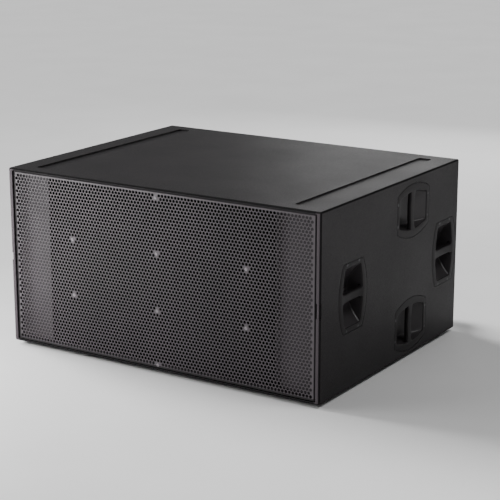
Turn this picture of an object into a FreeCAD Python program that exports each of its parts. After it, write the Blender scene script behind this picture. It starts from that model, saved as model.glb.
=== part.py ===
import FreeCAD, Part
import math
import os
from FreeCAD import Vector as V

# Double 18 inch bass-reflex subwoofer cabinet, millimetres.
# Frame: +Z up, the grille faces -Y, +X to the right seen from the front.
# Origin: centre of the whole footprint (cabinet plus rear castors), at the underside of the runners.

# ---- driving dimensions ----
W, H, D = 1250.0, 625.0, 975.0      # cabinet width, height without runners, depth without castors
RUN_H = 12.0                        # runner height under the bottom panel
CAST_H = 128.0                      # castor overall height, measured out from the rear panel
T_SIDE, T_TOP, T_REAR, T_BAF = 15.0, 18.0, 18.0, 24.0
R_EDGE = 6.0                        # rounding of the cabinet's outer edges
LIP = 8.0                           # visible front edge of the top and bottom panels
REBATE_D = 26.0                     # depth of the rebate that the grille sits in
GR_X, GR_GAP = 605.0, 1.5           # half width of the grille, gap to the lips
GR_D, GR_T, GR_FLANGE = 3.0, 1.5, 20.0   # grille set back, sheet, folded edge
REC_X, REC_W, REC_D0, REC_D1, REC_DEEP = 521.0, 50.0, 54.0, 917.0, 5.0   # stacking recesses in the top
RUN_W, RUN_D0, RUN_D1 = 44.0, 58.0, 913.0
BAF_D = 90.0                        # baffle front face behind the cabinet front
DRV_X = 231.0                       # driver axis offset from the middle
DRV_R, CUT_R, BOLT_R, N_BOLT = 228.0, 213.0, 220.0, 8
PORT_Z, PORT_RI, PORT_RO, PORT_RF = 213.0, 70.0, 74.0, 78.0
COVER_X, COVER_D = 461.0, 37.0      # inner edge and depth of the end covers
SCREW_COL = 351.0                   # side columns of grille screws
SCREW_V = (30.9, 219.9, 416.5, 605.4)    # grille screw heights, down from the top
HANDLES = {                         # centre behind the front, centre below the top, long axis
    "front": (209.0, 316.0, "vertical"),
    "top": (622.0, 116.0, "horizontal"),
    "rear": (870.0, 316.0, "vertical"),
    "bottom": (622.0, 517.0, "horizontal"),
}
CAST_X, CAST_Z = 515.0, 110.0       # castor swivel axis: from the middle, and from top and bottom
CAST_TRAIL, WHEEL_R, AXLE_Z = 38.0, 50.0, 78.0
PLATE_W, PLATE_H, CONN_Z = 220.0, 150.0, 215.0   # connector plate

YF = -(D + CAST_H) / 2.0
Z0 = RUN_H
ZT = Z0 + H
CATCH_Z = ZT - 317.0                 # middle of the catch slots in the side panels' front edges
ZC = Z0 + H / 2.0
XI = W / 2.0 - T_SIDE               # inner face of the side panels
ZI0, ZI1 = Z0 + T_TOP, ZT - T_TOP

parts = {}


def box(x0, x1, d0, d1, z0, z1):
    return Part.makeBox(x1 - x0, d1 - d0, z1 - z0, V(x0, YF + d0, z0))


def cyl(r, p, direction, length):
    return Part.makeCylinder(r, length, p, direction)


def fuse(shapes):
    out = shapes[0]
    if len(shapes) > 1:
        out = out.multiFuse(shapes[1:])
    return out.removeSplitter()


def cut(a, tools):
    return a.cut(Part.makeCompound(tools)) if tools else a


def one(s):
    return s.Solids[0] if len(s.Solids) == 1 else s


def fillet(s, r, pick):
    edges = [e for e in s.Edges if pick(e)]
    return s.makeFillet(r, edges)


def along(e, axis):
    a, b = e.Vertexes[0].Point, e.Vertexes[-1].Point
    d = b - a
    return abs(abs(d.dot(axis)) - d.Length) < 1e-6 and d.Length > 1e-6


def mid(e):
    return e.valueAt((e.FirstParameter + e.LastParameter) / 2.0)


def rounded_plan(x0, x1, y0, y1, r, z0, z1):
    s = Part.makeBox(x1 - x0, y1 - y0, z1 - z0, V(x0, y0, z0))
    return fillet(s, r, lambda e: along(e, V(0, 0, 1)))


def poly_face(points):
    """points: (a, b) straight, or ("arc", (a, b) via, (a, b) end); in the XZ plane."""
    edges = []
    last = points[0]
    for p in points[1:] + [points[0]]:
        if isinstance(p[0], str):
            via, end = p[1], p[2]
            edges.append(Part.Arc(V(last[0], 0, last[1]), V(via[0], 0, via[1]), V(end[0], 0, end[1])).toShape())
            last = end
        else:
            if abs(p[0] - last[0]) + abs(p[1] - last[1]) > 1e-9:
                edges.append(Part.LineSegment(V(last[0], 0, last[1]), V(p[0], 0, p[1])).toShape())
            last = p
    return Part.Face(Part.Wire(edges))


def revolve(points):
    """profile of (radius, height) turned about Z"""
    return poly_face(points).revolve(V(0, 0, 0), V(0, 0, 1), 360).Solids[0]


# ---- shell panels ----
def cap_panel(top):
    s = box(-XI, XI, 0, D, ZT - T_TOP, ZT)
    s = fillet(s, R_EDGE, lambda e: along(e, V(1, 0, 0)) and abs(mid(e).z - ZT) < 1e-6)
    tools = [box(-XI - 1, XI + 1, -1, REBATE_D, ZT - T_TOP - 1, ZT - LIP)]
    if top:
        for sx in (-1, 1):
            r = rounded_plan(sx * REC_X - REC_W / 2, sx * REC_X + REC_W / 2, YF + REC_D0, YF + REC_D1, 10.0, ZT - REC_DEEP, ZT + 5)
            r = r.makeFillet(2.5, [e for e in r.Edges if abs(mid(e).z - (ZT - REC_DEEP)) < 1e-6])
            tools.append(r)
    s = cut(s, tools)
    if not top:
        s = s.mirror(V(0, 0, ZC), V(0, 0, 1))
        s = cut(s, [cyl(2.05, V(sx * REC_X, YF + d, Z0 - 1), V(0, 0, 1), 14) for sx in (-1, 1) for d in RUNNER_SCREWS])
    return one(s)


RUNNER_SCREWS = [RUN_D0 + 30 + i * (RUN_D1 - RUN_D0 - 60) / 4.0 for i in range(5)]
parts["top_panel"] = cap_panel(True)
parts["bottom_panel"] = cap_panel(False)

# ---- handles: local x along the long axis, y across, z out of the panel (panel face at z = 0) ----
HW_END, HW_MID, HL = 47.5, 65.0, 100.0      # opening: half width at the ends and middle, half length
FL_END, FL_MID, FLL, FL_T = 64.0, 93.0, 116.0, 4.0   # flange
CUP_T, CUP_DEEP = 3.5, 65.0
BAR_W, BAR_T = 29.0, 16.0
HS_U, HS_V = 110.0, 38.0


def barrel(l, w_end, w_mid, z0, z1, r):
    pts = [V(-l, -w_end, z0), V(l, -w_end, z0), V(l, w_end, z0), V(-l, w_end, z0)]
    edges = [
        Part.Arc(pts[0], V(0, -w_mid, z0), pts[1]).toShape(),
        Part.LineSegment(pts[1], pts[2]).toShape(),
        Part.Arc(pts[2], V(0, w_mid, z0), pts[3]).toShape(),
        Part.LineSegment(pts[3], pts[0]).toShape(),
    ]
    s = Part.Face(Part.Wire(edges)).extrude(V(0, 0, z1 - z0))
    return fillet(s, r, lambda e: along(e, V(0, 0, 1)))


def scoop(off, top):
    c, R = (45.2, -22.3), 42.8 + off
    a, b, m = (c[0] + R, -24.0), (48.0, -CUP_DEEP - off), (c[0] + 0.716 * R, c[1] - 0.698 * R)
    lip = (HL + off * 1.12, 0.0)
    up = (lip[0] + (lip[0] - a[0]) / 24.0 * top, top)
    pts = [up, a, ("arc", m, b), (-b[0], b[1]), ("arc", (-m[0], m[1]), (-a[0], a[1])), (-up[0], up[1])]
    return poly_face(pts).extrude(V(0, 300, 0)).translate(V(0, -150, 0))


def handle_solid():
    flange = barrel(FLL, FL_END, FL_MID, -FL_T, 0.0, 9.0)
    flange = fillet(flange, 1.2, lambda e: abs(mid(e).z) < 1e-6)
    outer = barrel(HL + 4.5, HW_END + CUP_T, HW_MID + CUP_T, -80, -1.0, 12.0).common(scoop(CUP_T, -0.5))
    inner = barrel(HL, HW_END, HW_MID, -80, 1.0, 9.0).common(scoop(0.0, 1.0))
    body = fuse([flange, outer]).cut(inner)
    bar = Part.makeBox(BAR_W, 2 * (HW_MID + 2), BAR_T, V(-BAR_W / 2, -HW_MID - 2, -BAR_T))
    bar = fillet(bar, 5.0, lambda e: along(e, V(0, 1, 0)))
    body = fuse([body, bar])
    holes = [cyl(2.75, V(u, v, -20), V(0, 0, 1), 25) for u in (-HS_U, HS_U) for v in (-HS_V, HS_V)]
    holes += [Part.makeCone(2.75, 4.75, 2.4, V(u, v, -2.4), V(0, 0, 1)) for u in (-HS_U, HS_U) for v in (-HS_V, HS_V)]
    return one(cut(body, holes))


def screw_m5(length=13.5, head=4.6):
    return fuse([Part.makeCone(2.5, head, 2.3, V(0, 0, -2.3), V(0, 0, 1)), cyl(2.5, V(0, 0, -length), V(0, 0, 1), length - 2.29)])


def place(shape, side, name):
    """handle frame to the cabinet: the right side first, then the mirror image for the left"""
    d, zt, way = HANDLES[name]
    s = shape.copy()
    if way == "vertical":      # x -> Z, y -> Y, z -> X
        m = FreeCAD.Matrix(0, 0, 1, W / 2, 0, 1, 0, YF + d, -1, 0, 0, ZT - zt, 0, 0, 0, 1)
    else:                      # x -> Y, y -> Z, z -> X
        m = FreeCAD.Matrix(0, 0, 1, W / 2, 1, 0, 0, YF + d, 0, 1, 0, ZT - zt, 0, 0, 0, 1)
    s = s.transformed(m)
    if side == "left":
        s = s.mirror(V(0, 0, 0), V(1, 0, 0))
    return s


HANDLE = handle_solid()
panel_screws = []
for side in ("left", "right"):
    sx = -1 if side == "left" else 1
    s = box(XI, W / 2, 0, D, Z0, ZT)
    s = fillet(s, R_EDGE, lambda e: abs(mid(e).x - W / 2) < 1e-6 or along(e, V(1, 0, 0)))
    # catch slots in the front edge: two beside a rib on the right, one at the outer corner on the left
    if side == "right":
        tools = [box(XI - 1, 613.0, -1, 8.0, CATCH_Z - 25, CATCH_Z + 25), box(619.5, W / 2 + 1, -1, 8.0, CATCH_Z - 25, CATCH_Z + 25)]
    else:
        tools = [box(618.0, W / 2 + 1, -1, 8.0, CATCH_Z - 14, CATCH_Z + 14)]
    s = cut(s, tools)
    if side == "left":
        s = s.mirror(V(0, 0, 0), V(1, 0, 0))
    tools = []
    for n in HANDLES:
        tools.append(place(barrel(FLL + 0.9, FL_END + 0.9, FL_MID + 0.9, -FL_T, 3.0, 9.5), side, n))
        tools.append(place(barrel(HL + 5.2, HW_END + CUP_T + 1.2, HW_MID + CUP_T + 1.2, -30, 1.0, 12.5), side, n))
        for u in (-HS_U, HS_U):
            for v in (-HS_V, HS_V):
                tools.append(place(cyl(2.55, V(u, v, -T_SIDE + 1), V(0, 0, 1), T_SIDE), side, n))
                panel_screws.append(place(screw_m5(13.0).translate(V(u, v, 0)), side, n))
        parts["handle_%s_%s" % (n, side)] = place(HANDLE, side, n)
    for z in (ZC - 200, ZC, ZC + 200):       # end cover screws
        tools.append(cyl(2.55, V(sx * (XI - 1), YF + 50, z), V(sx, 0, 0), 12.0))
    parts["side_panel_%s" % side] = one(cut(s, tools))

# ---- baffle, ports, brace ----
baf = box(-XI, XI, BAF_D, BAF_D + T_BAF, ZI0, ZI1)
tools = []
BOLTS = [math.radians(22.5 + 45 * i) for i in range(N_BOLT)]
for sx in (-1, 1):
    tools.append(cyl(CUT_R, V(sx * DRV_X, YF + BAF_D - 1, ZC), V(0, 1, 0), T_BAF + 2))
    for a in BOLTS:
        tools.append(cyl(3.05, V(sx * DRV_X + BOLT_R * math.cos(a), YF + BAF_D - 1, ZC + BOLT_R * math.sin(a)), V(0, 1, 0), T_BAF + 2))
    for z in (ZC - 200, ZC, ZC + 200):
        tools.append(cyl(2.55, V(sx * (COVER_X + 14), YF + BAF_D - 1, z), V(0, 1, 0), 14.0))
for sz in (-1, 1):
    tools.append(cyl(PORT_RO + 0.1, V(0, YF + BAF_D - 1, ZC + sz * PORT_Z), V(0, 1, 0), T_BAF + 2))
parts["front_baffle"] = one(cut(baf, tools))

port = revolve([
    (PORT_RF, 0), (PORT_RF, 4), (PORT_RF - 1.5, 5), ("arc", (PORT_RI + 1.8, 2.4), (PORT_RI, -8)), (PORT_RI, -232),
    ("arc", (PORT_RI + 1.6, -242.0), (PORT_RI + 7, -250)), (PORT_RI + 10, -250), ("arc", (PORT_RI + 5.4, -243.0), (PORT_RO, -232)), (PORT_RO, 0),
])


def to_front(s, x, z):
    """local +Z points out of the baffle to the front"""
    m = FreeCAD.Matrix(1, 0, 0, x, 0, 0, -1, YF + BAF_D, 0, 1, 0, z, 0, 0, 0, 1)
    return s.transformed(m)


def to_rear(s, x, z):
    """local +Z points out of the rear panel, local +Y hangs down"""
    m = FreeCAD.Matrix(1, 0, 0, x, 0, 0, 1, YF + D, 0, -1, 0, z, 0, 0, 0, 1)
    return s.transformed(m)


parts["port_tube_top"] = to_front(port, 0, ZC + PORT_Z)
parts["port_tube_bottom"] = to_front(port, 0, ZC - PORT_Z)

BR_D0, BR_D1 = 374.0, D - T_REAR
br = box(-9, 9, BR_D0, BR_D1, ZI0, ZI1)
wins = []
for (d0, d1) in ((414, 640), (690, 880)):
    for (z0, z1) in ((ZC - 245, ZC - 25), (ZC + 25, ZC + 245)):
        w = box(-20, 20, d0, d1, z0, z1)
        wins.append(fillet(w, 30.0, lambda e: along(e, V(1, 0, 0))))
wins.append(box(-20, 20, BR_D1 - 50, BR_D1 + 1, CONN_Z - PLATE_H / 2 - 20, CONN_Z + PLATE_H / 2 + 20))
parts["centre_brace"] = one(cut(br, wins))

# ---- end covers: folded steel, closing the two ends behind the grille ----
for side in ("left", "right"):
    c = fuse([
        box(COVER_X, XI - 0.2, COVER_D, COVER_D + 2, ZI0 + 0.5, ZI1 - 0.5),
        box(COVER_X, COVER_X + 2, COVER_D, BAF_D, ZI0 + 0.5, ZI1 - 0.5),
        box(COVER_X, COVER_X + 24, BAF_D - 2, BAF_D, ZI0 + 0.5, ZI1 - 0.5),
        box(XI - 2.2, XI - 0.2, COVER_D, COVER_D + 26, ZI0 + 0.5, ZI1 - 0.5),
    ])
    c = fillet(c, 2.0, lambda e: along(e, V(0, 0, 1)) and abs(mid(e).y - (YF + COVER_D)) < 1e-6)
    holes = [cyl(2.8, V(COVER_X + 14, YF + BAF_D - 3, z), V(0, 1, 0), 4) for z in (ZC - 200, ZC, ZC + 200)]
    holes += [cyl(2.8, V(XI - 3, YF + 50, z), V(1, 0, 0), 4) for z in (ZC - 200, ZC, ZC + 200)]
    c = cut(c, holes)
    for z in (ZC - 200, ZC, ZC + 200):
        a = fuse([cyl(4.6, V(COVER_X + 14, YF + BAF_D - 4.5, z), V(0, 1, 0), 2.5), cyl(2.5, V(COVER_X + 14, YF + BAF_D - 2.1, z), V(0, 1, 0), 13)])
        b = fuse([cyl(4.6, V(XI - 4.7, YF + 50, z), V(1, 0, 0), 2.5), cyl(2.5, V(XI - 2.3, YF + 50, z), V(1, 0, 0), 12.5)])
        for s in (a, b):
            panel_screws.append(s if side == "right" else s.mirror(V(0, 0, 0), V(1, 0, 0)))
    parts["end_cover_%s" % side] = one(c if side == "right" else c.mirror(V(0, 0, 0), V(1, 0, 0)))

# ---- grille support frame, foam, grille and its screws ----
FR_D = 16.0
SCREWS = [(0.0, v) for v in SCREW_V] + [(sx * SCREW_COL, v) for sx in (-1, 1) for v in SCREW_V[1:3]]
bars = [box(x - 15, x + 15, FR_D, FR_D + 6, ZI0, ZI1) for x in (-SCREW_COL, 0, SCREW_COL)]
bars += [box(-452, 452, FR_D, FR_D + 30, ZI0, ZI0 + 5), box(-452, 452, FR_D, FR_D + 30, ZI1 - 5, ZI1)]
bars += [cyl(7.0, V(x, YF + GR_D + GR_T + 0.1, ZT - v), V(0, 1, 0), FR_D - GR_D - GR_T + 1) for x, v in SCREWS]
fr = fuse(bars)
holes = [cyl(3.05, V(x, YF + GR_D, ZT - v), V(0, 1, 0), 25) for x, v in SCREWS]
for x in (-430, -176, 176, 430):
    holes += [cyl(2.8, V(x, YF + FR_D + 18, ZI0 - 1), V(0, 0, 1), 7), cyl(2.8, V(x, YF + FR_D + 18, ZI1 - 6), V(0, 0, 1), 7)]
    a = fuse([cyl(4.6, V(x, YF + FR_D + 18, ZI0 + 5), V(0, 0, 1), 2.5), cyl(2.5, V(x, YF + FR_D + 18, ZI0 - 7), V(0, 0, 1), 12.2)])
    panel_screws += [a, a.mirror(V(0, 0, ZC), V(0, 0, 1))]
parts["grille_support_frame"] = one(cut(fr, holes))
pilot_lo = [cyl(2.55, V(x, YF + FR_D + 18, ZI0 - 8), V(0, 0, 1), 9) for x in (-430, -176, 176, 430)]
parts["bottom_panel"] = one(cut(parts["bottom_panel"], pilot_lo))
parts["top_panel"] = one(cut(parts["top_panel"], [p.mirror(V(0, 0, ZC), V(0, 0, 1)) for p in pilot_lo]))

foam = box(-455, 455, 6.5, 14.5, ZI0 + 4, ZI1 - 4)
parts["grille_foam"] = one(cut(foam, [cyl(8.0, V(x, YF + 5, ZT - v), V(0, 1, 0), 12) for x, v in SCREWS]))

GZ0, GZ1 = Z0 + LIP + GR_GAP, ZT - LIP - GR_GAP
g = box(-GR_X, GR_X, GR_D, GR_D + GR_FLANGE, GZ0, GZ1)
g = fillet(g, 2.5, lambda e: abs(mid(e).y - (YF + GR_D)) < 1e-6)
g = g.cut(box(-GR_X + GR_T, GR_X - GR_T, GR_D + GR_T, GR_D + GR_FLANGE + 1, GZ0 + GR_T, GZ1 - GR_T))
parts["front_grille"] = one(cut(g, [cyl(3.3, V(x, YF + GR_D - 1, ZT - v), V(0, 1, 0), 4) for x, v in SCREWS]))

gs = []
for x, v in SCREWS:
    head = Part.makeCylinder(5.25, 2.8, V(x, YF + 0.2, ZT - v), V(0, 1, 0))
    head = fillet(head, 1.9, lambda e: abs(mid(e).y - YF - 0.2) < 1e-6 and e.Length > 20)
    hexa = Part.Face(Part.makePolygon([V(x + 2.3 * math.cos(math.radians(60 * i)), YF - 0.5, ZT - v + 2.3 * math.sin(math.radians(60 * i))) for i in range(7)])).extrude(V(0, 2.5, 0))
    gs.append(fuse([head.cut(hexa), cyl(3.0, V(x, YF + 2.9, ZT - v), V(0, 1, 0), 19)]))
parts["grille_screws"] = Part.makeCompound([one(s) for s in gs])

# ---- drivers: local z = 0 on the baffle's front face, +z forward ----
def basket():
    s = revolve([
        (DRV_R, 3), (DRV_R, 9), (DRV_R - 1, 10), (196, 10), (196, 4), (203, -4), (203, -12), (118, -104), (62, -104), (62, -110),
        (122, -110), (209, -16), (211, 3),
    ])
    ring = revolve([(112, -105), (120, -105), (120, -84), (112, -84)])
    s = fuse([s, ring])
    tools = []
    for i in range(N_BOLT):
        w = Part.makeBox(90, 62, 64, V(123, -31, -88))
        w.rotate(V(0, 0, 0), V(0, 0, 1), 45 * i)
        tools.append(w)
    for a in BOLTS:
        tools.append(cyl(3.4, V(BOLT_R * math.cos(a), BOLT_R * math.sin(a), 0), V(0, 0, 1), 12))
    return one(cut(s, tools))


DRIVER = {
    "driver_basket": basket(),
    "driver_motor": revolve([
        (105, -110), (105, -193), (103, -195), (12, -195), (12, -112), (54.5, -112), (54.5, -185), (60, -185), (60, -110),
    ]),
    "voice_coil": revolve([(56.5, -56), (58, -56), (58, -160), (56.5, -160)]),
    "cone": revolve([
        (58.05, -62), (168, 8.5), (168, 10), (180, 10), (180, 8), (170, 8), (61.5, -62), (61.5, -66), (58.05, -66),
    ]),
    "surround": revolve([
        (212, 10), (212, 11.5), (201.4, 11.5), ("arc", (190.5, 21.0), (179.6, 11.5)), (170, 11.5), (170, 10), (181, 10),
        ("arc", (190.5, 19.5), (200, 10)),
    ]),
    "spider": revolve([
        (58.1, -83), (58.1, -81.5), (68, -81.5), (73, -79), (78, -81.5), (83, -84), (88, -81.5), (93, -79), (98, -81.5), (104, -82.5), (120, -82.5),
        (120, -84), (104, -84), (98, -83), (93, -80.5), (88, -83), (83, -85.5), (78, -83), (73, -80.5), (68, -83),
    ]),
    "dust_cap": revolve([(4, -30), ("arc", (40, -35.5), (74, -51.2)), (72.6, -52.4), ("arc", (40, -37.1), (4, -31.5))]),   # vented in the middle
}
gasket = revolve([(214, 0), (228, 0), (228, 3), (214, 3)])
gasket = cut(gasket, [cyl(3.4, V(BOLT_R * math.cos(a), BOLT_R * math.sin(a), -1), V(0, 0, 1), 6) for a in BOLTS])
bolt = fuse([cyl(5.0, V(0, 0, 10), V(0, 0, 1), 6), cyl(3.0, V(0, 0, -22), V(0, 0, 1), 32.1)])
bolt = bolt.cut(Part.Face(Part.makePolygon([V(2.9 * math.cos(math.radians(60 * i)), 2.9 * math.sin(math.radians(60 * i)), 12.5) for i in range(7)])).extrude(V(0, 0, 5)))
gaskets, bolts = [], []
for side, sx in (("left", -1), ("right", 1)):
    for n, s in DRIVER.items():
        parts["%s_%s" % (n, side)] = to_front(s, sx * DRV_X, ZC)
    gaskets.append(to_front(one(gasket), sx * DRV_X, ZC))
    for a in BOLTS:
        bolts.append(to_front(one(bolt).copy().translate(V(BOLT_R * math.cos(a), BOLT_R * math.sin(a), 0)), sx * DRV_X, ZC))
parts["driver_gaskets"] = Part.makeCompound(gaskets)
parts["driver_screws"] = Part.makeCompound(bolts)

# ---- runners under the bottom panel ----
runner_screws = []
for side, sx in (("left", -1), ("right", 1)):
    r = rounded_plan(sx * REC_X - RUN_W / 2, sx * REC_X + RUN_W / 2, YF + RUN_D0, YF + RUN_D1, 8.0, 0.0, RUN_H)
    r = r.makeFillet(2.5, [e for e in r.Edges if abs(mid(e).z) < 1e-6])
    tools = []
    for d in RUNNER_SCREWS:
        p = V(sx * REC_X, YF + d, 0)
        tools += [cyl(5.6, p + V(0, 0, -1), V(0, 0, 1), 7), cyl(2.3, p, V(0, 0, 1), 14)]
        runner_screws.append(fuse([cyl(5.2, p + V(0, 0, 2.5), V(0, 0, 1), 3.5), cyl(2.0, p + V(0, 0, 5.9), V(0, 0, 1), 17)]))
    parts["runner_%s" % side] = one(cut(r, tools))
parts["runner_screws"] = Part.makeCompound([one(s) for s in runner_screws])

# ---- rear panel, connector plate and sockets ----
rear = box(-XI, XI, D - T_REAR, D, ZI0, ZI1)
CASTORS = {"upper_left": (-CAST_X, ZT - CAST_Z), "upper_right": (CAST_X, ZT - CAST_Z), "lower_left": (-CAST_X, Z0 + CAST_Z), "lower_right": (CAST_X, Z0 + CAST_Z)}
CB = [(u, v) for u in (-40, 40) for v in (-30, 30)]
tools = [cyl(4.1, V(x + u, YF + D - T_REAR - 1, z + v), V(0, 1, 0), T_REAR + 2) for x, z in CASTORS.values() for u, v in CB]
DX, DZ, DISH = 86.0, 53.0, 30.0
dish_hole = box(-DX - 1, DX + 1, D - T_REAR - 1, D + 1, CONN_Z - DZ - 1, CONN_Z + DZ + 1)
tools.append(fillet(dish_hole, 9.0, lambda e: along(e, V(0, 1, 0))))
CS = [(u, v) for u in (-PLATE_W / 2 + 12, 0, PLATE_W / 2 - 12) for v in (-PLATE_H / 2 + 10, PLATE_H / 2 - 10)]
tools += [cyl(2.55, V(u, YF + D - 13, CONN_Z + v), V(0, 1, 0), 14) for u, v in CS]
parts["rear_panel"] = one(cut(rear, tools))

fl = fillet(box(-PLATE_W / 2, PLATE_W / 2, D, D + 2, CONN_Z - PLATE_H / 2, CONN_Z + PLATE_H / 2), 8.0, lambda e: along(e, V(0, 1, 0)))
dish = fillet(box(-DX, DX, D - DISH, D + 1, CONN_Z - DZ, CONN_Z + DZ), 8.0, lambda e: along(e, V(0, 1, 0)))
inn = fillet(box(-DX + 2, DX - 2, D - DISH + 2, D + 5, CONN_Z - DZ + 2, CONN_Z + DZ - 2), 6.0, lambda e: along(e, V(0, 1, 0)))
cp = fuse([fl, dish]).cut(inn)
tools = [cyl(2.8, V(u, YF + D - 1, CONN_Z + v), V(0, 1, 0), 4) for u, v in CS]
tools += [cyl(15.0, V(x, YF + D - DISH - 1, CONN_Z), V(0, 1, 0), 5) for x in (-38, 38)]
parts["connector_plate"] = one(cut(cp, tools))
for u, v in CS:
    panel_screws.append(fuse([cyl(4.6, V(u, YF + D + 2, CONN_Z + v), V(0, 1, 0), 2.5), cyl(2.5, V(u, YF + D - 11, CONN_Z + v), V(0, 1, 0), 13.1)]))
for n, x in (("speaker_socket_in", -38), ("speaker_socket_link", 38)):
    f = D - DISH + 2
    s = fuse([
        fillet(box(x - 20, x + 20, f, f + 3, CONN_Z - 20, CONN_Z + 20), 4.0, lambda e: along(e, V(0, 1, 0))),
        cyl(17.0, V(x, YF + f, CONN_Z), V(0, 1, 0), 9.0),
        cyl(14.7, V(x, YF + f - 30, CONN_Z), V(0, 1, 0), 31.0),
    ])
    s = s.cut(cyl(13.2, V(x, YF + f - 16, CONN_Z), V(0, 1, 0), 30))
    s = fuse([s, cyl(6.8, V(x, YF + f - 17, CONN_Z), V(0, 1, 0), 22.0)])
    parts[n] = one(cut(s, [box(x - 2.2, x + 2.2, f - 12, f + 12, CONN_Z + 11, CONN_Z + 15.2)]))
parts["panel_screws"] = Part.makeCompound([one(s) for s in panel_screws])

# ---- castors: local z out of the rear panel, local y is the trail and hangs down ----
pl = rounded_plan(-52.5, 52.5, -42.5, 42.5, 8.0, 0, 4)
pl = fuse([pl, cyl(30, V(0, 0, 3.9), V(0, 0, 1), 8.1)])
pl = fillet(pl, 2.0, lambda e: abs(mid(e).z - 12) < 1e-6)
pl = cut(pl, [cyl(6.05, V(0, 0, -1), V(0, 0, 1), 15)] + [cyl(4.4, V(u, v, -1), V(0, 0, 1), 8) for u, v in CB])
A = (CAST_TRAIL, AXLE_Z)


def leg(x0, x1):
    pts = [V(x0, -24, 12.5), V(x0, 44, 12.5), V(x0, A[0] + 14.0, A[1] - 2.0), V(x0, A[0] - 13.0, A[1] + 5.0)]
    f = Part.Face(Part.makePolygon(pts + [pts[0]])).extrude(V(x1 - x0, 0, 0))
    return f.fuse(cyl(14.0, V(x0, A[0], A[1]), V(1, 0, 0), x1 - x0))


fork = fuse([
    fillet(Part.makeBox(54, 68, 4.5, V(-27, -24, 12.5)), 1.0, lambda e: along(e, V(1, 0, 0))),
    leg(23.0, 27.0), leg(-27.0, -23.0),
    cyl(6.0, V(0, 0, 0.6), V(0, 0, 1), 12.5), cyl(27.0, V(0, 0, 12.5), V(0, 0, 1), 7.0), cyl(9.5, V(0, 0, 19.4), V(0, 0, 1), 4.0),
    cyl(6.0, V(-29.0, A[0], A[1]), V(1, 0, 0), 58.0), cyl(9.0, V(-31.5, A[0], A[1]), V(1, 0, 0), 4.6), cyl(9.0, V(26.9, A[0], A[1]), V(1, 0, 0), 4.6),
])
wheel = revolve([
    (6.05, -22.3), (13, -22.3), (13, -16), (30, -13), (37, -16), (41, -18), ("arc", (48.4, -13.5), (WHEEL_R, -8)), (WHEEL_R, 8),
    ("arc", (48.4, 13.5), (41, 18)), (37, 16), (30, 13), (13, 16), (13, 22.3), (6.05, 22.3),
])
wheel = wheel.transformed(FreeCAD.Matrix(0, 0, 1, 0, 1, 0, 0, A[0], 0, 1, 0, A[1], 0, 0, 0, 1))
cs = fuse([cyl(7.5, V(0, 0, 4), V(0, 0, 1), 5), cyl(4.0, V(0, 0, -17), V(0, 0, 1), 21.1)])
cs = fillet(cs, 2.0, lambda e: abs(mid(e).z - 9) < 1e-6)
castor_screws = []
for n, (x, z) in CASTORS.items():
    parts["castor_plate_" + n] = to_rear(one(pl), x, z)
    parts["castor_fork_" + n] = to_rear(one(fork), x, z)
    parts["castor_wheel_" + n] = to_rear(one(wheel), x, z)
    castor_screws += [to_rear(one(cs).copy().translate(V(u, v, 0)), x, z) for u, v in CB]
parts["castor_screws"] = Part.makeCompound(castor_screws)

# ---- driver leads: clipped along the bottom panel, from the sockets to the motors ----
def lead(points, r_bend, r):
    pts = [V(p[0], YF + p[1], p[2]) for p in points]
    edges, last = [], pts[0]
    for i in range(1, len(pts) - 1):
        a, b, c = pts[i - 1], pts[i], pts[i + 1]
        u, w = (a - b).normalize(), (c - b).normalize()
        half = math.acos(max(-1.0, min(1.0, u.dot(w)))) / 2.0
        t = r_bend[i - 1] / math.tan(half)
        p0, p1 = b + u * t, b + w * t
        m = b + (u + w).normalize() * (r_bend[i - 1] / math.sin(half) - r_bend[i - 1])
        edges.append(Part.LineSegment(last, p0).toShape())
        edges.append(Part.Arc(p0, m, p1).toShape())
        last = p1
    edges.append(Part.LineSegment(last, pts[-1]).toShape())
    path = Part.Wire(edges)
    t0 = (pts[1] - pts[0]).normalize()
    prof = Part.Wire([Part.makeCircle(r, pts[0], t0)])
    s = path.makePipeShell([prof], True, False)
    ratio = s.Volume / (math.pi * r * r * path.Length)
    print("lead length %.0f mm, volume ratio %.4f, bends %s" % (path.Length, ratio, r_bend))
    return s


zf = ZI0 + 4.5
leads = []
for sx in (-1, 1):
    s = lead([
        (sx * 38, D - DISH - 28, CONN_Z), (sx * 38, 850, CONN_Z), (sx * 38, 850, zf), (sx * 200, 560, zf), (sx * 200, 345, zf),
        (sx * 200, 345, ZC - 50), (sx * 200, 285, ZC - 50),
    ], [45, 45, 80, 45, 40], 4.0)
    leads.append(s)
parts["driver_leads"] = Part.makeCompound([one(s) for s in leads])

# ---- write one STEP per node ----
os.makedirs("parts", exist_ok=True)
for f in os.listdir("parts"):
    if f.endswith(".step"):
        os.remove(os.path.join("parts", f))
for name, shape in parts.items():
    if not shape.isValid():
        print("INVALID", name)
    vol = sum(s.Volume for s in shape.Solids)
    if not shape.Solids or vol <= 0:
        print("NO SOLID", name, shape.ShapeType, vol)
    shape.exportStep("parts/%s.step" % name)
print(len(parts), "nodes")
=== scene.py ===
import math

import bmesh
import bpy
import numpy as np
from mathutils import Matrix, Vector, geometry


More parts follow.
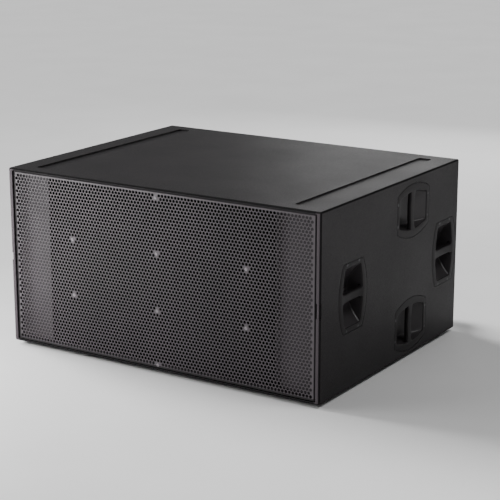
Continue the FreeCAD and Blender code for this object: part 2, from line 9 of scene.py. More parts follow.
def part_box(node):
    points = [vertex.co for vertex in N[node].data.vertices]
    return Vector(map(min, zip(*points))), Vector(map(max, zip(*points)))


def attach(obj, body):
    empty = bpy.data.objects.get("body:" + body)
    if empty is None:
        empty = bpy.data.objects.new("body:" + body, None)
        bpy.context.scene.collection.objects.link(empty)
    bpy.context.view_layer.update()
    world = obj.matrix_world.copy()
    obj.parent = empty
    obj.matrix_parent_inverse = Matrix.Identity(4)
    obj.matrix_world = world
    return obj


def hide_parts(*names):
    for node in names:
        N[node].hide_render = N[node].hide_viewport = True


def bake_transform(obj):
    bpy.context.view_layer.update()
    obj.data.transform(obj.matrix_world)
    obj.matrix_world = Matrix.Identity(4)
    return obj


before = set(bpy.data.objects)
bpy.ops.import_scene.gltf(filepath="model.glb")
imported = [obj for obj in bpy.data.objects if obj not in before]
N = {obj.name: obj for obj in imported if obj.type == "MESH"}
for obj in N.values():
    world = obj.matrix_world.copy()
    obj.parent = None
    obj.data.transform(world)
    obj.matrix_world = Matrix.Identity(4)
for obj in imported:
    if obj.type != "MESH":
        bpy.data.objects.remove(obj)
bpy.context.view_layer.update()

MM = 0.001

# ------------------------------------------------------------------ frame facts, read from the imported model
SIDE_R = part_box("side_panel_right")
SIDE_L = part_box("side_panel_left")
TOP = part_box("top_panel")
BOX_LO = Vector((SIDE_L[0].x, SIDE_L[0].y, SIDE_L[0].z))
BOX_HI = Vector((SIDE_R[1].x, SIDE_R[1].y, SIDE_R[1].z))
BOX_C = (BOX_LO + BOX_HI) / 2
YF = BOX_LO.y


# ------------------------------------------------------------------ node material helpers
class Mat:
    """a procedural material on one Principled shader"""

    def __init__(self, name, **sockets):
        self.m = bpy.data.materials.new(name)
        self.m.use_nodes = True
        t = self.t = self.m.node_tree
        self.b = t.nodes["Principled BSDF"]
        self.out = t.nodes["Material Output"]
        self.co = t.nodes.new("ShaderNodeTexCoord").outputs["Object"]
        for k, v in sockets.items():
            self.set(k.replace("_", " "), v)

    def set(self, k, v):
        s = self.b.inputs[k]
        if hasattr(s.default_value, "__len__") and len(v) == 3:
            v = (*v, 1.0)
        s.default_value = v
        return self

    def node(self, kind, **kw):
        n = self.t.nodes.new(kind)
        for k, v in kw.items():
            if hasattr(n, k):
                setattr(n, k, v)
            else:
                n.inputs[k.replace("_", " ")].default_value = v
        return n

    def link(self, a, b):
        self.t.links.new(a, b)

    def scaled(self, sx, sy, sz):
        n = self.node("ShaderNodeMapping")
        n.inputs["Scale"].default_value = (sx, sy, sz)
        self.link(self.co, n.inputs["Vector"])
        return n.outputs[0]

    def noise(self, scale, detail=2.0, rough=0.5, vec=None, distortion=0.0):
        n = self.node("ShaderNodeTexNoise")
        n.inputs["Scale"].default_value = scale
        n.inputs["Detail"].default_value = detail
        n.inputs["Roughness"].default_value = rough
        n.inputs["Distortion"].default_value = distortion
        self.link(vec or self.co, n.inputs["Vector"])
        return n.outputs["Fac"]

    def voronoi(self, scale, feature="F1", rand=1.0, vec=None):
        n = self.node("ShaderNodeTexVoronoi")
        n.feature = feature
        n.inputs["Scale"].default_value = scale
        n.inputs["Randomness"].default_value = rand
        self.link(vec or self.co, n.inputs["Vector"])
        return n.outputs["Distance"]

    def remap(self, v, a, b, c, d):
        n = self.node("ShaderNodeMapRange")
        for i, x in enumerate((a, b, c, d)):
            n.inputs[i + 1].default_value = x
        self.link(v, n.inputs[0])
        return n.outputs[0]

    def math(self, op, a, b):
        n = self.node("ShaderNodeMath", operation=op)
        for i, x in enumerate((a, b)):
            if isinstance(x, (int, float)):
                n.inputs[i].default_value = x
            else:
                self.link(x, n.inputs[i])
        return n.outputs[0]

    def ramp(self, v, c0, c1, p0=0.3, p1=0.7):
        n = self.node("ShaderNodeValToRGB")
        e = n.color_ramp.elements
        e[0].position, e[1].position = p0, p1
        e[0].color, e[1].color = (*c0, 1), (*c1, 1)
        self.link(v, n.inputs[0])
        return n.outputs[0]

    def color(self, out):
        self.link(out, self.b.inputs["Base Color"])

    def rough(self, out):
        self.link(out, self.b.inputs["Roughness"])

    def bump(self, height, strength, distance):
        n = self.node("ShaderNodeBump")
        n.inputs["Strength"].default_value = strength
        n.inputs["Distance"].default_value = distance
        self.link(height, n.inputs["Height"])
        last = self.b.inputs["Normal"]
        if last.links:
            self.link(last.links[0].from_socket, n.inputs["Normal"])
        self.link(n.outputs[0], last)


def tone(c, k):
    return tuple(x * k for x in c)


# painted highlight: how much paler the narrow front edges of the side panels are made
FRONT_EDGE_HIGHLIGHT = 5.2


def textured_paint(name, base, rough=(0.5, 0.62), grain=620.0, height=0.00035, spec=0.5, edges=None):
    """pebbled two-layer coating: grains about 1.5 mm across with finer ones between; with edges given, painted shade
    darkens and dulls the roundings between the listed faces, and a painted highlight lightens the narrow front edges of
    the side panels
    """
    m = Mat(name, Specular_IOR_Level=spec)
    big = m.noise(3.2, 3.0, 0.55)
    fine = m.noise(grain, 2.0, 0.6)
    peb = m.voronoi(grain * 0.9, "SMOOTH_F1")
    mix = m.math("ADD", m.math("MULTIPLY", fine, 0.55), m.math("MULTIPLY", peb, 0.6))
    speck = m.math("ADD", m.math("MULTIPLY", fine, 0.6), m.math("MULTIPLY", big, 0.4))
    m.color(m.ramp(speck, tone(base, 0.72), tone(base, 1.28), 0.36, 0.64))
    if edges:
        sep = m.node("ShaderNodeSeparateXYZ")
        m.link(m.co, sep.inputs[0])
        near = []
        for axis, value, way in edges:           # 1 within the rounding next to each face, 0 further in
            v = m.math("ABSOLUTE", sep.outputs[axis], 0.0) if way == 0 else sep.outputs[axis]
            a, b = (value - 0.0062, value - 0.0040) if way >= 0 else (value + 0.0062, value + 0.0040)
            near.append(m.remap(v, a, b, 0.0, 1.0))
        shade_mask = None
        for i in range(len(near)):
            for j in range(i + 1, len(near)):
                both = m.math("MULTIPLY", near[i], near[j])
                shade_mask = both if shade_mask is None else m.math("MAXIMUM", shade_mask, both)
        # painted shade: the colour is darkened by up to 85% on the roundings between two listed faces
        keep = m.math("SUBTRACT", 1.0, m.math("MULTIPLY", shade_mask, 0.85))
        # the narrow front edges of the side panels, round the grille: a painted highlight, paler up to the rounding
        front = m.remap(sep.outputs[1], BOX_LO.y + 0.0040, BOX_LO.y + 0.0022, 0.0, 1.0)
        side = m.remap(m.math("ABSOLUTE", sep.outputs[0], 0.0), BOX_HI.x - 0.0220, BOX_HI.x - 0.0190, 0.0, 1.0)
        front = m.math("MULTIPLY", front, side)
        highlight_gain = m.math("ADD", 1.0, m.math("MULTIPLY", front, FRONT_EDGE_HIGHLIGHT))
        plain = m.ramp(speck, tone(base, 0.72), tone(base, 1.28), 0.36, 0.64)
        mix_c = m.node("ShaderNodeVectorMath", operation="SCALE")
        m.link(plain, mix_c.inputs[0])
        m.link(m.math("MULTIPLY", keep, highlight_gain), mix_c.inputs["Scale"])
        m.color(mix_c.outputs[0])
    coarse = m.noise(grain * 0.36, 3.0, 0.62)
    dull = m.remap(m.math("ADD", m.math("MULTIPLY", speck, 0.6), m.math("MULTIPLY", coarse, 0.4)), 0.36, 0.64, rough[1] + 0.03, rough[0] - 0.03)
    if edges:                                    # the roundings are dull
        dull = m.math("ADD", dull, m.math("MULTIPLY", shade_mask, 0.4))
    m.rough(dull)
    m.bump(coarse, 0.5, height * 1.6)
    m.bump(mix, 0.55, height)
    return m.m


def satin_paint(name, base, rough=(0.36, 0.46), peel=260.0, height=0.00006, metallic=0.0, spec=0.5):
    """powder coat with a little orange peel"""
    m = Mat(name, Metallic=metallic, Specular_IOR_Level=spec)
    n = m.noise(peel, 2.0, 0.5)
    big = m.noise(6.0, 2.0, 0.5)
    m.color(m.ramp(big, tone(base, 0.9), tone(base, 1.1), 0.3, 0.7))
    m.rough(m.remap(n, 0.3, 0.7, *rough))
    m.bump(n, 0.35, height)
    return m.m


def grille_paint(name, base, rough=(0.34, 0.44), spec=0.44):
    """powder coat on the sheet, with painted shade darkening and dulling the fold round the edge of it"""
    m = Mat(name, Specular_IOR_Level=spec)
    n = m.noise(260.0, 2.0, 0.5)
    big = m.noise(6.0, 2.0, 0.5)
    lo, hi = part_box("front_grille")
    sep = m.node("ShaderNodeSeparateXYZ")
    m.link(m.co, sep.inputs[0])
    fold_shade_masks = [m.remap(sep.outputs[0], lo.x + 0.0085, lo.x + 0.0068, 0.0, 1.0),
             m.remap(sep.outputs[0], hi.x - 0.0034, hi.x - 0.0024, 0.0, 1.0),
             m.remap(sep.outputs[2], lo.z + 0.0085, lo.z + 0.0068, 0.0, 1.0),
             m.remap(sep.outputs[2], hi.z - 0.0050, hi.z - 0.0036, 0.0, 1.0)]
    shade_mask = fold_shade_masks[0]
    for k in fold_shade_masks[1:]:
        shade_mask = m.math("MAXIMUM", shade_mask, k)
    # painted shade: the colour is darkened by up to 78% on the fold round the sheet's edge
    keep = m.math("SUBTRACT", 1.0, m.math("MULTIPLY", shade_mask, 0.78))
    plain = m.ramp(big, tone(base, 0.9), tone(base, 1.1), 0.3, 0.7)
    sc = m.node("ShaderNodeVectorMath", operation="SCALE")
    m.link(plain, sc.inputs[0])
    m.link(keep, sc.inputs["Scale"])
    m.color(sc.outputs[0])
    m.rough(m.math("ADD", m.remap(n, 0.3, 0.7, *rough), m.math("MULTIPLY", shade_mask, 0.5)))
    m.bump(n, 0.35, 0.00006)
    return m.m


def moulded(name, base, rough=(0.42, 0.56), grain=1500.0, height=0.00012, spec=0.3):
    """moulded plastic with a fine leather grain"""
    m = Mat(name, Specular_IOR_Level=spec)
    v = m.voronoi(grain * 0.6, "SMOOTH_F1")
    n = m.noise(grain, 2.0, 0.6)
    h = m.math("ADD", m.math("MULTIPLY", v, 0.7), m.math("MULTIPLY", n, 0.4))
    m.color(m.ramp(m.noise(9.0, 3.0), tone(base, 0.85), tone(base, 1.15)))
    m.rough(m.remap(n, 0.3, 0.7, *rough))
    m.bump(h, 0.4, height)
    return m.m


def metal(name, base, rough=(0.22, 0.4), streak=(30.0, 900.0, 900.0), height=0.00002):
    m = Mat(name, Metallic=1.0)
    s = m.noise(1.0, 3.0, 0.6, vec=m.scaled(*streak))
    b = m.noise(40.0, 2.0, 0.5)
    m.color(m.ramp(b, tone(base, 0.88), tone(base, 1.08)))
    m.rough(m.remap(s, 0.3, 0.7, *rough))
    m.bump(s, 0.25, height)
    return m.m


def foam(name, base):
    m = Mat(name, Roughness=0.95, Specular_IOR_Level=0.04)
    v = m.voronoi(420.0, "F1")
    m.color(m.ramp(v, tone(base, 0.25), tone(base, 1.3), 0.12, 0.5))
    m.bump(v, 0.9, 0.0012)
    return m.m


def cloth(name, base, scale=900.0):
    m = Mat(name, Roughness=0.85, Specular_IOR_Level=0.25)
    n = m.noise(scale, 3.0, 0.7)
    m.color(m.ramp(n, tone(base, 0.7), tone(base, 1.3)))
    m.bump(n, 0.5, 0.0002)
    return m.m


def rubber(name, base, rough=(0.6, 0.75)):
    m = Mat(name, Specular_IOR_Level=0.35)
    n = m.noise(420.0, 3.0, 0.6)
    m.color(m.ramp(m.noise(30.0, 3.0), tone(base, 0.8), tone(base, 1.25)))
    m.rough(m.remap(n, 0.3, 0.7, *rough))
    m.bump(n, 0.3, 0.0001)
    return m.m


BLACK = (0.0114, 0.0097, 0.0109)
EDGES = [(0, BOX_HI.x, 1), (1, BOX_LO.y, -1), (1, BOX_HI.y, 1), (2, BOX_HI.z, 1), (2, BOX_LO.z, -1)]      # axis, place of the box's face, side; the roundings between these faces get painted shade, with the left side's edges left out
M = {
    "paint": textured_paint("textured_black_coating", BLACK, (0.44, 0.56), spec=0.155, edges=EDGES),
    "inner": textured_paint("inner_black_paint", (0.02, 0.02, 0.02), (0.7, 0.85), 900.0, 0.0001),
    "grille": grille_paint("grille_powder_coat", (0.080, 0.0680, 0.0768), (0.34, 0.44), spec=0.44),
    "grille_screw": satin_paint("grille_screw_coat", (0.26, 0.235, 0.255), (0.26, 0.34), 500.0, 0.00002, spec=0.6),
    "cover": satin_paint("end_cover_paint", (0.038, 0.0330, 0.0367), (0.36, 0.46), spec=0.25),
    "steel_black": satin_paint("black_steel", (0.022, 0.022, 0.023), (0.35, 0.5)),
    "zinc": metal("bright_zinc", (0.82, 0.82, 0.80), (0.18, 0.32), (200.0, 200.0, 200.0)),
    "plated": metal("plated_steel", (0.62, 0.62, 0.63), (0.28, 0.42), (120.0, 120.0, 900.0)),
    "black_zinc": metal("black_zinc", (0.045, 0.045, 0.048), (0.35, 0.5)),
    "handle": moulded("handle_plastic", (0.0106, 0.0091, 0.0101), (0.46, 0.58), spec=0.14),
    # painted light: the inside of the cup, part of the same moulding, gets a paler and glossier copy of the handle
    # plastic to brighten its shaded hollow
    "handle_cup": moulded("handle_cup_plastic", (0.031, 0.0280, 0.030), (0.27, 0.36), height=0.00004, spec=0.37),
    "plastic": moulded("black_plastic", (0.022, 0.022, 0.022), (0.35, 0.5)),
    "runner": moulded("runner_plastic", (0.018, 0.018, 0.018), (0.5, 0.65), 700.0),
    "foam": foam("acoustic_foam", (0.0024, 0.0022, 0.0024)),
    "cone": cloth("cone_pulp", (0.03, 0.03, 0.03), 500.0),
    "surround": cloth("surround_cloth", (0.02, 0.02, 0.02), 1200.0),
    "spider": cloth("spider_cloth", (0.42, 0.25, 0.08), 1500.0),
    "cast": satin_paint("cast_basket", (0.04, 0.04, 0.04), (0.4, 0.6), 400.0, 0.0002, 0.6),
    "copper": metal("coil_wire", (0.75, 0.42, 0.2), (0.25, 0.35), (60.0, 60.0, 4000.0)),
    "rubber": rubber("black_rubber", (0.022, 0.022, 0.022)),
    "tyre": rubber("tyre_rubber", (0.03, 0.03, 0.03)),
    "hub": moulded("hub_plastic", (0.16, 0.16, 0.165), (0.4, 0.5), 900.0, 0.00008),
}


def paint_node(node, mat):
    o = N[node]
    o.data.materials.clear()
    o.data.materials.append(M[mat])


RULES = [
    ("handle_", "handle"), ("driver_basket", "cast"), ("driver_motor", "steel_black"), ("cone_", "cone"), ("dust_cap", "cone"),
    ("surround", "surround"), ("spider", "spider"), ("voice_coil", "copper"), ("port_tube", "plastic"), ("runner_screws", "black_zinc"),
    ("runner", "runner"), ("castor_plate", "plated"), ("castor_fork", "plated"), ("castor_wheel", "tyre"), ("castor_screws", "plated"),
    ("speaker_socket", "plastic"), ("driver_gaskets", "rubber"), ("driver_screws", "black_zinc"), ("driver_leads", "rubber"),
    ("connector_plate", "steel_black"), ("panel_screws", "black_zinc"), ("grille_screws", "grille_screw"), ("grille_foam", "foam"),
    ("grille_support", "steel_black"), ("front_grille", "grille"), ("end_cover", "cover"), ("front_baffle", "inner"), ("centre_brace", "inner"),
    ("", "paint"),
]
for name in N:
    paint_node(name, next(mat for start, mat in RULES if name.startswith(start)))


def mesh(name, verts, faces, mat, smooth_angle=None):
    me = bpy.data.meshes.new(name)
    me.from_pydata([tuple(v) for v in verts], [], [tuple(f) for f in faces])
    me.validate()
    me.materials.append(M[mat])
    o = bpy.data.objects.new(name, me)
    bpy.context.scene.collection.objects.link(o)
    if smooth_angle is not None:
        me.shade_smooth()
        me.set_sharp_from_angle(angle=math.radians(smooth_angle))
    return o


# ------------------------------------------------------------------ the perforated grille
G_LO, G_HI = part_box("front_grille")
PITCH, ROW, HOLE_R, HOLE_N = 13.0 * MM, 11.34 * MM, 5.75 * MM, 8
SHEET, BEND = 1.5 * MM, 2.5 * MM


def screw_centres():
    """the grille screws' axes, from the loose parts of their CAD node"""
    me = N["grille_screws"].data
    bm = bmesh.new()
    bm.from_mesh(me)
    bmesh.ops.remove_doubles(bm, verts=bm.verts, dist=1e-6)
    seen, out = set(), []
    for v in bm.verts:
        if v.index in seen:
            continue
        stack, pts = [v], []
        seen.add(v.index)
        while stack:
            k = stack.pop()
            pts.append(k.co.copy())
            for e in k.link_edges:
                o = e.other_vert(k)
                if o.index not in seen:
                    seen.add(o.index)
                    stack.append(o)
        xs, zs = [q.x for q in pts], [q.z for q in pts]
        out.append(((min(xs) + max(xs)) / 2, (min(zs) + max(zs)) / 2))
    bm.free()
    return sorted(out)


SCREW_AT = screw_centres()


def rounded_rect(x0, x1, z0, z1, r, steps=3):
    pts = []
    for cx, cz, a0 in ((x1 - r, z1 - r, 0), (x0 + r, z1 - r, 90), (x0 + r, z0 + r, 180), (x1 - r, z0 + r, 270)):
        for i in range(steps + 1):
            a = math.radians(a0 + 90.0 * i / steps)
            pts.append((cx + r * math.cos(a), cz + r * math.sin(a)))
    return pts


def build_grille():
    zc = (G_LO.z + G_HI.z) / 2
    holes = []
    for j in range(52):
        z = zc + (25.5 - j) * ROW
        for i in range(-46, 47):
            x = (i + (0.5 if j % 2 else 0.0)) * PITCH
            if abs(x) > 592.0 * MM:
                continue
            if any((x - sx) ** 2 + (z - sz) ** 2 < (10.8 * MM) ** 2 for sx, sz in SCREW_AT):   # the three holes round a screw are left out
                continue
            holes.append((x, z, HOLE_R))
    holes += [(sx, sz, 3.4 * MM) for sx, sz in SCREW_AT]
    outer = rounded_rect(G_LO.x + BEND, G_HI.x - BEND, G_LO.z + BEND, G_HI.z - BEND, 1.5 * MM)
    pts = list(outer)
    edges = [(i, (i + 1) % len(outer)) for i in range(len(outer))]
    loops = [list(range(len(outer)))]
    for x, z, r in holes:
        s = len(pts)
        k = HOLE_N if r > 4 * MM else 10
        for i in range(k):
            a = 2 * math.pi * (i + 0.5) / k
            pts.append((x + r * math.cos(a), z + r * math.sin(a)))
        loops.append(list(range(s, s + k)))
        edges += [(s + i, s + (i + 1) % k) for i in range(k)]
    out = geometry.delaunay_2d_cdt([Vector(p) for p in pts], edges, [], 1, 1e-7)
    co, tris = out[0], out[2]
    assert len(co) == len(pts), (len(co), len(pts))
    # the kernel may reorder nothing here: input vertices keep their places when none merge
    orig = out[3]
    back = {}
    for new, olds in enumerate(orig):
        for o in olds:
            back[o] = new
    hx = np.array([h[0] for h in holes]); hz = np.array([h[1] for h in holes]); hr = np.array([h[2] for h in holes])
    cen = np.array([[sum(co[i][k] for i in t) / len(t) for k in (0, 1)] for t in tris])
    from mathutils import kdtree
    kd = kdtree.KDTree(len(holes))
    for i, h in enumerate(holes):
        kd.insert((h[0], h[1], 0), i)
    kd.balance()
    keep = []
    for t, c in zip(tris, cen):
        _, i, dist = kd.find((c[0], c[1], 0))
        if dist < holes[i][2] * 0.90:
            continue
        keep.append(t)
    y0, y1 = G_LO.y, G_LO.y + SHEET
    n = len(co)
    verts = [(c[0], y0, c[1]) for c in co] + [(c[0], y1, c[1]) for c in co]
    faces = []
    for t in keep:
        a = [co[i] for i in t]
        area = sum(a[i][0] * a[(i + 1) % len(a)][1] - a[(i + 1) % len(a)][0] * a[i][1] for i in range(len(a)))
        t = list(t) if area > 0 else list(reversed(t))      # x to z anticlockwise: normal towards -Y
        faces.append(t)
        faces.append([i + n for i in reversed(t)])
    for loop in loops[1:]:
        l = [back[i] for i in loop]
        for i in range(len(l)):
            a, b = l[i], l[(i + 1) % len(l)]
            faces.append((b, a, a + n, b + n))
    # the folded edge: rings of the same rounded rectangle
    cut = len(outer)
    ring_specs = []
    for i in range(1, 5):
        a = math.radians(90.0 * i / 4)
        ring_specs.append((BEND * (1 - math.sin(a)), y0 + BEND * (1 - math.cos(a))))
    ring_specs.append((0.0, G_HI.y - 0.3 * MM))
    ring_specs.append((0.3 * MM, G_HI.y))
    ring_specs.append((SHEET - 0.3 * MM, G_HI.y))
    ring_specs.append((SHEET, G_HI.y - 0.3 * MM))
    inner_r = BEND - SHEET
    for i in range(4, 0, -1):
        a = math.radians(90.0 * i / 4)
        ring_specs.append((SHEET + inner_r * (1 - math.sin(a)), y1 + inner_r * (1 - math.cos(a))))
    prev = [back[i] for i in loops[0]]
    for inset, y in ring_specs:
        s = len(verts)
        r = 1.5 * MM + (BEND - inset)
        for x, z in rounded_rect(G_LO.x + inset, G_HI.x - inset, G_LO.z + inset, G_HI.z - inset, r):
            verts.append((x, y, z))
        ring = list(range(s, s + cut))
        for i in range(cut):
            a, b = prev[i], prev[(i + 1) % cut]
            faces.append((a, ring[i], ring[(i + 1) % cut], b))
        prev = ring
    last = [back[i] + n for i in loops[0]]
    for i in range(cut):
        faces.append((prev[i], last[i], last[(i + 1) % cut], prev[(i + 1) % cut]))
    o = mesh("front_grille_perforated", verts, faces, "grille")
    bm = bmesh.new()
    bm.from_mesh(o.data)
    bmesh.ops.recalc_face_normals(bm, faces=bm.faces)
    open_edges = sum(1 for e in bm.edges if not e.is_manifold)
    bm.to_mesh(o.data)
    tri = sum(len(f.verts) - 2 for f in bm.faces)
    bm.free()
    print("grille: holes", len(holes), "triangles", tri, "open edges", open_edges)
    o.data.shade_smooth()
    o.data.set_sharp_from_angle(angle=math.radians(50))
    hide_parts("front_grille")
    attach(o, "cabinet")
    return o


build_grille()


# ------------------------------------------------------------------ the bar handles
H_LEN, H_MID, H_END, H_CORNER = 100.0, 65.0, 47.5, 9.0        # opening: half length, half width in the middle and at the ends
F_LEN, F_MID, F_END, F_THICK = 116.0, 93.0, 64.0, 4.0        # flange
CUP_DEEP, CUP_WALL = 65.0, 3.5
BAR_HALF, BAR_THICK, BAR_BOW = 14.5, 15.0, 3.0


def barrel_ring(length, mid, end, grow, corner, z, n_side=14, n_corner=5, n_end=4, limit=None):
    """a barrel outline: two bowed long sides, straight ends, round corners; grow moves it outward"""
    full = length
    l = (limit if limit is not None else length) + grow
    side = lambda u: mid + grow - (mid - end) * (u / full) ** 2
    r = min(max(corner + grow * 0.6, 0.6), 0.55 * l)
    quarter = []
    for i in range(n_end):                       # up the end, from the middle
        quarter.append((l, (side(l) - r) * i / n_end))
    for i in range(n_corner + 1):
        a = math.radians(90.0 * i / n_corner)
        quarter.append((l - r + r * math.cos(a), side(l - r) * 1.0 - r + r * math.sin(a) if i else side(l) - r))
    # ease the corner onto the bowed side
    start = quarter[-1]
    for i in range(1, n_side + 1):
        u = (l - r) * (1 - i / n_side)
        quarter.append((u, side(u)))
    pts = [(u, v) for u, v in quarter]
    pts += [(-u, v) for u, v in reversed(quarter[:-1])]
    pts += [(-u, -v) for u, v in quarter[1:]]
    pts += [(u, -v) for u, v in reversed(quarter[1:-1])]
    return [(u, v, z) for u, v in pts]


SCOOP = 61.5        # depth of the bowed cup floor under the middle of the bar


def scoop_reach(z):
    """half length of the cup at a depth: its floor is one long bow, rising to the lip at both ends"""
    return H_LEN * math.sqrt(max(1.0 + z / SCOOP, 0.0))


def loft(rings, mat, name):
    """closed solid through rings of equal length, capped at both ends"""
    k = len(rings[0])
    verts = [p for ring in rings for p in ring]
    faces = []
    for j in range(len(rings) - 1):
        for i in range(k):
            a, b = j * k + i, j * k + (i + 1) % k
            faces.append((a, b, b + k, a + k))
    for j, flip in ((0, True), (len(rings) - 1, False)):
        s = j * k
        c = len(verts)
        verts.append(tuple(sum(rings[j][i][q] for i in range(k)) / k for q in range(3)))
        for i in range(k):
            t = (s + i, s + (i + 1) % k, c)
            faces.append(t[::-1] if flip else t)
    me = bpy.data.meshes.new(name)
    me.from_pydata(verts, [], faces)
    bm = bmesh.new()
    bm.from_mesh(me)
    bmesh.ops.recalc_face_normals(bm, faces=bm.faces)
    bm.to_mesh(me)
    bm.free()
    me.materials.append(M[mat])
    return me


def boolean(a, b, op):
    """mesh a with mesh b added or taken away, exactly"""
    oa, ob = bpy.data.objects.new("a", a), bpy.data.objects.new("b", b)
    for o in (oa, ob):
        bpy.context.scene.collection.objects.link(o)
    m = oa.modifiers.new("m", "BOOLEAN")
    m.object, m.operation, m.solver = ob, op, "EXACT"
    bpy.context.view_layer.update()
    dg = bpy.context.evaluated_depsgraph_get()
    out = bpy.data.meshes.new_from_object(oa.evaluated_get(dg))
    for o in (oa, ob):
        bpy.data.objects.remove(o)
    return out


def tube_ring(cx, cy, r, z, n):
    return [(cx + r * math.cos(2 * math.pi * i / n), cy + r * math.sin(2 * math.pi * i / n), z) for i in range(n)]


def handle_master():
    R = lambda grow, z, limit=None: barrel_ring(H_LEN, H_MID, H_END, grow, H_CORNER, z, limit=limit)
    F = lambda grow, z: barrel_ring(F_LEN, F_MID, F_END, grow, H_CORNER, z)
    rings = []
    # inside of the cup, from its floor up
    inner = (-60.6, -59.4, -57.4, -54.6, -51.2, -47.2, -42.8, -38.0, -33.0, -28.0, -23.0, -18.0, -13.4, -9.4, -6.0, -3.2)
    for z in inner:
        rings.append(R(0.0, z, limit=scoop_reach(z)))
    for a in (20, 40, 60, 80, 90):
        a = math.radians(a)
        rings.append(R(3.0 * (1 - math.cos(a)), -3.2 + 3.2 * math.sin(a), limit=scoop_reach(-3.2)))
    # flange, round its edge and back
    for grow, z in ((-1.4, 0.0), (-0.65, -0.2), (-0.2, -0.65), (0.0, -1.4), (0.0, -F_THICK)):
        rings.append(F(grow, z))
    rings.append(R(CUP_WALL + 0.6, -F_THICK, limit=scoop_reach(-3.2)))
    for z in reversed(inner[:-1]):
        rings.append(R(CUP_WALL, z - 3.0, limit=scoop_reach(z)))
    body = loft(rings, "handle", "handle_body")
    # the bar: bowed inward in the middle, wider where it meets the flange
    bars = []
    reach = H_MID + 5.0
    steps = 25
    for j in range(steps):
        v = -reach + 2 * reach * j / (steps - 1)
        t = min(abs(v) / H_MID, 1.0)
        bow = BAR_BOW * (1 - t * t)
        half = BAR_HALF * (1.0 + 0.35 * max(0.0, (t - 0.7) / 0.3) ** 2)
        top, bot, r = -0.06 - bow, -BAR_THICK - bow * 0.8, 5.0
        ring = []
        for cx, cz, a0 in ((half - r, top - r, 0), (-half + r, top - r, 90), (-half + r, bot + r, 180), (half - r, bot + r, 270)):
            for i in range(6):
                a = math.radians(a0 + 90.0 * i / 5)
                ring.append((cx + r * math.cos(a), v, cz + r * math.sin(a)))
        bars.append(ring)
    bar = loft(bars, "handle", "handle_bar")
    out = boolean(body, bar, "UNION")
    for u in (-110.0, 110.0):
        for v in (-38.0, 38.0):
            cut = loft([tube_ring(u, v, r, z, 20) for r, z in ((2.75, -9.0), (2.75, -2.4), (4.75, 0.0), (4.85, 0.6))], "handle", "sink")
            out = boolean(out, cut, "DIFFERENCE")
    return out


def build_handles():
    master = handle_master()
    bm = bmesh.new()
    bm.from_mesh(master)
    bmesh.ops.remove_doubles(bm, verts=bm.verts, dist=0.002)
    bad = sum(1 for e in bm.edges if not e.is_manifold)
    bm.to_mesh(master)
    bm.free()
    print("handle: faces", len(master.polygons), "open edges", bad)
    # the cup faces take the paler copy of the plastic: painted light in the shaded hollow
    cup_faces = []
    for f in master.polygons:
        c = f.center
        on_bar = abs(c.x) < BAR_HALF * 1.4 and c.z > -BAR_THICK - BAR_BOW - 1.0
        cup_faces.append(1 if c.z < -2.2 and not on_bar else 0)
    for side, sx in (("left", -1.0), ("right", 1.0)):
        for place in ("front", "top", "rear", "bottom"):
            node = "handle_%s_%s" % (place, side)
            lo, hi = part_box(node)
            cy, cz = (lo.y + hi.y) / 2, (lo.z + hi.z) / 2
            face = hi.x if sx > 0 else lo.x
            me = master.copy()
            me.materials.clear()
            me.materials.append(M["handle"])
            me.materials.append(M["handle_cup"])
            me.polygons.foreach_set("material_index", cup_faces)
            co = np.empty(len(me.vertices) * 3)
            me.vertices.foreach_get("co", co)
            u, v, z = co.reshape(-1, 3).T * MM
            if place in ("front", "rear"):
                new = np.stack([face + sx * z, cy + v, cz - u], 1)
                flip = False
            else:
                new = np.stack([face + sx * z, cy + u, cz + v], 1)
                flip = False
            if sx < 0:
                flip = not flip
            me.vertices.foreach_set("co", new.ravel())
            if flip:
                me.flip_normals()
            me.update()
            o = bpy.data.objects.new("bar_" + node, me)
            bpy.context.scene.collection.objects.link(o)
            me.shade_smooth()
            me.set_sharp_from_angle(angle=math.radians(38))
            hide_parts(node)
            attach(o, "cabinet")


build_handles()


# ------------------------------------------------------------------ turned pieces
def lathe(profile, centre, axis, steps=96, wobble=None):
    """closed solid from a closed (radius, along) profile in metres, turned about an axis through centre"""
    c = Vector(centre)
    a = Vector(axis).normalized()
    u = Vector((0, 0, 1)) if abs(a.z) < 0.5 else Vector((1, 0, 0))
    u = (u - a * u.dot(a)).normalized()
    w = a.cross(u)
    k = len(profile)
    verts, faces = [], []
    for i in range(steps):
        t = 2 * math.pi * i / steps
        d = u * math.cos(t) + w * math.sin(t)
        for r, s in profile:
            verts.append(c + d * r + a * s)
    for i in range(steps):
        j = (i + 1) % steps
        for p in range(k):
            q = (p + 1) % k
            faces.append((i * k + p, j * k + p, j * k + q, i * k + q))
    return verts, faces


def outward(o):
    bm = bmesh.new()
    bm.from_mesh(o.data)
    bmesh.ops.recalc_face_normals(bm, faces=bm.faces)
    bad = sum(1 for e in bm.edges if not e.is_manifold)
    bm.to_mesh(o.data)
    bm.free()
    if bad:
        print("OPEN EDGES", o.name, bad)
    return o


def arc(cx, cy, r, a0, a1, n):
    return [(cx + r * math.cos(math.radians(a0 + (a1 - a0) * i / n)), cy + r * math.sin(math.radians(a0 + (a1 - a0) * i / n))) for i in range(n + 1)]


def radial_blend(o):
    """bakes o's transform into its mesh"""
    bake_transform(o)


